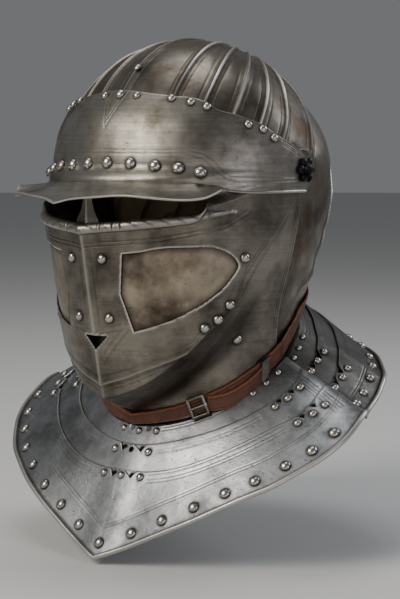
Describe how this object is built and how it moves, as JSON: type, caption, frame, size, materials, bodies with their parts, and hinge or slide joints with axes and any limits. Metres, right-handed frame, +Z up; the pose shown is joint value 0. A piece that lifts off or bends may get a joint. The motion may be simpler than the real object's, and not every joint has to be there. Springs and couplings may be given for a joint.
{
  "type": "close helmet",
  "caption": "Close helmet with a ribbed skull, pivoting peak, two bevors with sight, windows and breath hole, neck strap with buckle, and front and rear gorget lames.",
  "frame": {"origin": "middle of the axis of the two side pivots, at the level of the wearer's ears", "axes": "+X to the wearer's left, -Y to the front, +Z up"},
  "size_m": [0.3047, 0.2838, 0.3639],
  "materials": {
    "dark_steel": "hammered plate, dark patina with rust marks",
    "grey_steel": "ground plate, grey-brown patina",
    "bright_steel": "ground and polished plate, light patina",
    "blue_grey_steel": "ground plate, blue-grey patina",
    "rusted_plate": "unpolished plate with brown rust",
    "rivet_steel": "domed, worn bright on top",
    "black_iron": "blackened",
    "buckle_steel": "filed",
    "strap_leather": "red-brown, waxed, stitched along its edges",
    "inner_leather": "undyed, darkened",
    "lining_cloth": "quilted linen"
  },
  "bodies": {
    "skull": {"skull": "dark_steel", "skull_lining": "lining_cloth", "skull_rivets": "rivet_steel", "neck_rivets_rear": "rivet_steel", "pivot_bolt_left": "black_iron", "pivot_bolt_right": "black_iron", "pivot_rosette_left": "black_iron", "pivot_rosette_right": "black_iron", "pivot_nut_left": "black_iron", "pivot_nut_right": "black_iron", "rear_lame_1": "blue_grey_steel", "rear_lame_1_rivets": "rivet_steel", "rear_leather_centre": "inner_leather", "rear_leather_left": "inner_leather", "rear_leather_right": "inner_leather", "strap_rear": "strap_leather"},
    "lower_bevor": {"lower_bevor": "grey_steel", "lower_bevor_rivets": "rivet_steel", "neck_rivets_front": "rivet_steel", "front_lame_1": "bright_steel", "front_lame_1_rivets": "rivet_steel", "front_leather_centre": "inner_leather", "front_leather_left": "inner_leather", "front_leather_right": "inner_leather", "strap_front": "strap_leather", "strap_tail": "strap_leather", "strap_keeper": "buckle_steel", "buckle_frame": "buckle_steel"},
    "upper_bevor": {"upper_bevor": "grey_steel", "upper_bevor_rivets": "rivet_steel", "sight_bar": "grey_steel", "window_backing": "rusted_plate"},
    "peak": {"brow_peak_plate": "bright_steel", "brow_rivets": "rivet_steel", "brow_lining_band": "inner_leather"},
    "front_lame_2": {"front_lame_2": "bright_steel", "front_lame_2_rivets": "rivet_steel"},
    "front_gorget": {"front_gorget_plate": "bright_steel", "front_gorget_rivets": "rivet_steel"},
    "rear_lame_2": {"rear_lame_2": "blue_grey_steel", "rear_lame_2_rivets": "rivet_steel"},
    "rear_gorget": {"rear_gorget_plate": "blue_grey_steel", "rear_gorget_rivets": "rivet_steel"},
    "buckle_tongue": {"buckle_tongue": "buckle_steel"}
  },
  "joints": [
    {"name": "lower_bevor_hinge", "type": "hinge", "parent": "skull", "child": "lower_bevor", "pos_m": [0, 0, 0], "axis": [-1, 0, 0], "range_deg": [0, 35]},
    {"name": "upper_bevor_hinge", "type": "hinge", "parent": "lower_bevor", "child": "upper_bevor", "pos_m": [0, 0, 0], "axis": [-1, 0, 0], "range_deg": [0, 28]},
    {"name": "peak_hinge", "type": "hinge", "parent": "upper_bevor", "child": "peak", "pos_m": [0, 0, 0], "axis": [-1, 0, 0], "range_deg": [0, 22]},
    {"name": "front_lame_2_slide", "type": "slide", "parent": "lower_bevor", "child": "front_lame_2", "axis": [0, 0, 1], "range_m": [0, 0.004]},
    {"name": "front_gorget_slide", "type": "slide", "parent": "front_lame_2", "child": "front_gorget", "axis": [0, 0, 1], "range_m": [0, 0.004]},
    {"name": "rear_lame_2_slide", "type": "slide", "parent": "skull", "child": "rear_lame_2", "axis": [0, 0, 1], "range_m": [0, 0.001]},
    {"name": "rear_gorget_slide", "type": "slide", "parent": "rear_lame_2", "child": "rear_gorget", "axis": [0, 0, 1], "range_m": [0, 0.001]},
    {"name": "buckle_tongue_hinge", "type": "hinge", "parent": "lower_bevor", "child": "buckle_tongue", "pos_m": [0.05166, -0.05007, -0.16343], "axis": [-0.3002, -0.205, 0.9316], "range_deg": [0, 90]}
  ]
}
